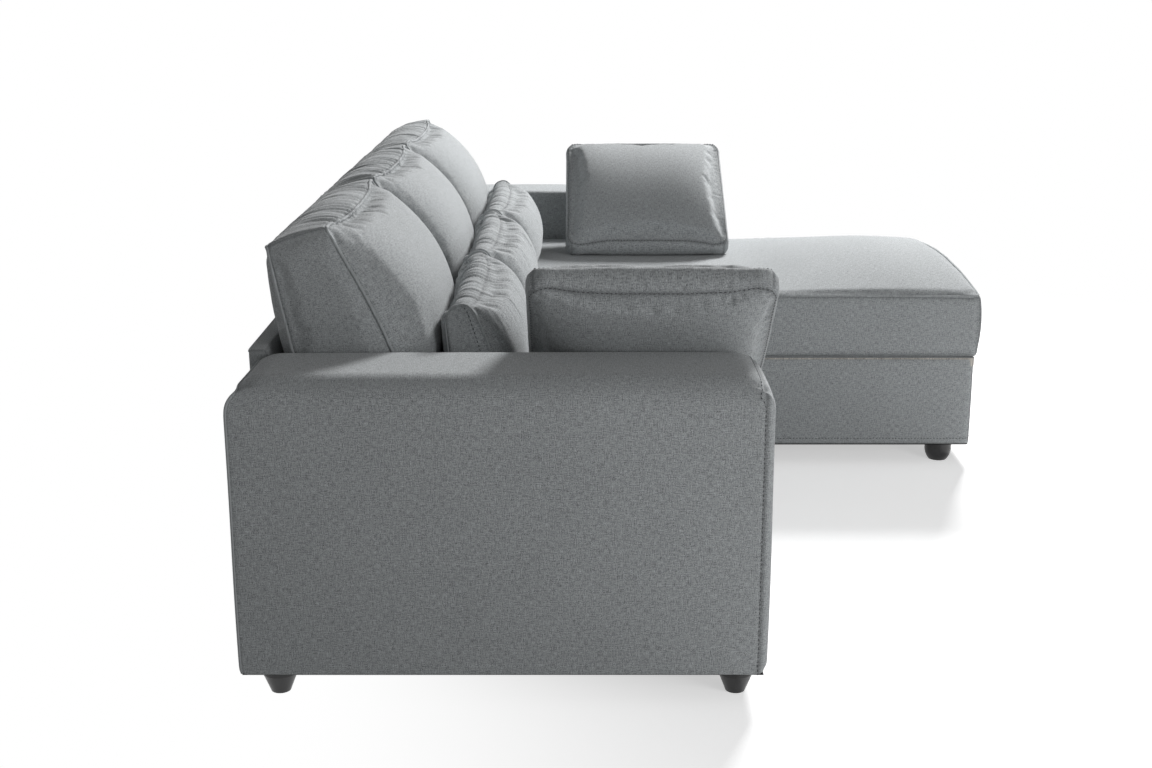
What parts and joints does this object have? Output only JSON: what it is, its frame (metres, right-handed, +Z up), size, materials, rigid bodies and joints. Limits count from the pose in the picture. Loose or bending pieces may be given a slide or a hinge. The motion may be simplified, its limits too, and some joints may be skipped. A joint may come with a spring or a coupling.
{
  "type": "sectional sofa with chaise",
  "caption": "Fabric sectional sofa with box arms, loose seat and back cushions, lumbar and square pillows, and a chaise on a separate base.",
  "frame": {"origin": "on the floor, under the middle of the whole object's box", "axes": "+X along the sofa towards the chaise end, -Y towards the front, +Z up"},
  "size_m": [2.5, 1.67, 0.83],
  "materials": {
    "upholstery": "woven chenille, matt",
    "cushion_filling": "foam in fibre wrap",
    "padding_foam": "foam sheet",
    "deck_felt": "needled felt",
    "deck_cloth": "plain woven cloth",
    "dust_cloth": "thin non-woven cloth",
    "webbing": "elastic webbing",
    "frame_timber": "sawn pine and plywood",
    "fibre_board": "hard fibre board",
    "spring_steel": "drawn wire",
    "zinc_steel": "zinc plated",
    "foot_black": "black, half gloss"
  },
  "bodies": {
    "sofa_frame": {"left_arm_frame": "frame_timber", "left_arm_padding": "padding_foam", "left_arm_cover": "upholstery", "right_arm_frame": "frame_timber", "right_arm_padding": "padding_foam", "right_arm_cover": "upholstery", "arm_bolts": "zinc_steel", "arm_bolt_washers": "zinc_steel", "arm_inserts": "zinc_steel", "seat_long_rails": "frame_timber", "seat_side_rails": "frame_timber", "seat_cross_rails": "frame_timber", "corner_blocks": "frame_timber", "seat_springs": "spring_steel", "spring_clips": "zinc_steel", "deck_pad": "deck_felt", "deck_cloth": "deck_cloth", "front_rail_padding": "padding_foam", "front_rail_cover": "upholstery", "dust_cover": "dust_cloth", "back_posts": "frame_timber", "back_rails": "frame_timber", "back_board": "fibre_board", "back_padding": "padding_foam", "back_cover": "upholstery", "back_bolts": "zinc_steel", "sofa_feet": "foot_black", "centre_feet": "foot_black", "foot_bolts": "zinc_steel"},
    "chaise_base": {"chaise_boards": "frame_timber", "chaise_foot_blocks": "frame_timber", "chaise_webbing": "webbing", "chaise_deck_pad": "deck_felt", "chaise_base_padding": "padding_foam", "chaise_base_cover": "upholstery", "chaise_dust_cover": "dust_cloth", "chaise_feet": "foot_black", "chaise_foot_bolts": "zinc_steel"},
    "left_seat_cushion": {"left_seat_cover": "upholstery", "left_seat_filling": "cushion_filling"},
    "centre_seat_cushion": {"centre_seat_cover": "upholstery", "centre_seat_filling": "cushion_filling"},
    "chaise_cushion": {"chaise_cushion_cover": "upholstery", "chaise_cushion_filling": "cushion_filling"},
    "left_square_pillow": {"left_square_pillow_cover": "upholstery", "left_square_pillow_filling": "cushion_filling"},
    "right_square_pillow": {"right_square_pillow_cover": "upholstery", "right_square_pillow_filling": "cushion_filling"},
    "left_back_cushion": {"left_back_cushion_cover": "upholstery", "left_back_cushion_filling": "cushion_filling"},
    "left_lumbar_pillow": {"left_lumbar_pillow_cover": "upholstery", "left_lumbar_pillow_filling": "cushion_filling"},
    "centre_back_cushion": {"centre_back_cushion_cover": "upholstery", "centre_back_cushion_filling": "cushion_filling"},
    "centre_lumbar_pillow": {"centre_lumbar_pillow_cover": "upholstery", "centre_lumbar_pillow_filling": "cushion_filling"},
    "right_back_cushion": {"right_back_cushion_cover": "upholstery", "right_back_cushion_filling": "cushion_filling"},
    "right_lumbar_pillow": {"right_lumbar_pillow_cover": "upholstery", "right_lumbar_pillow_filling": "cushion_filling"}
  },
  "joints": [
    {"name": "chaise_base_pull", "type": "slide", "parent": "sofa_frame", "child": "chaise_base", "axis": [0, -1, 0], "range_m": [0, 0.6]},
    {"name": "left_seat_pull", "type": "slide", "parent": "sofa_frame", "child": "left_seat_cushion", "axis": [0, -1, 0], "range_m": [0, 0.45]},
    {"name": "centre_seat_pull", "type": "slide", "parent": "sofa_frame", "child": "centre_seat_cushion", "axis": [0, -1, 0], "range_m": [0, 0.45]},
    {"name": "chaise_cushion_pull", "type": "slide", "parent": "chaise_base", "child": "chaise_cushion", "axis": [0, -1, 0], "range_m": [0, 0.45]},
    {"name": "left_back_lift", "type": "slide", "parent": "sofa_frame", "child": "left_back_cushion", "axis": [0, 0.3746, 0.9272], "range_m": [0, 0.45]},
    {"name": "centre_back_lift", "type": "slide", "parent": "sofa_frame", "child": "centre_back_cushion", "axis": [0, 0.3746, 0.9272], "range_m": [0, 0.45]},
    {"name": "right_back_lift", "type": "slide", "parent": "sofa_frame", "child": "right_back_cushion", "axis": [0, 0.3746, 0.9272], "range_m": [0, 0.45]},
    {"name": "left_lumbar_lift", "type": "slide", "parent": "sofa_frame", "child": "left_lumbar_pillow", "axis": [0, 0, 1], "range_m": [0, 0.3]},
    {"name": "centre_lumbar_lift", "type": "slide", "parent": "sofa_frame", "child": "centre_lumbar_pillow", "axis": [0, 0, 1], "range_m": [0, 0.3]},
    {"name": "right_lumbar_lift", "type": "slide", "parent": "sofa_frame", "child": "right_lumbar_pillow", "axis": [0, 0, 1], "range_m": [0, 0.3]},
    {"name": "left_pillow_lift", "type": "slide", "parent": "left_seat_cushion", "child": "left_square_pillow", "axis": [0.6691, 0, 0.7431], "range_m": [0, 0.35]},
    {"name": "right_pillow_lift", "type": "slide", "parent": "chaise_cushion", "child": "right_square_pillow", "axis": [-0.5, 0, 0.866], "range_m": [0, 0.35]}
  ]
}
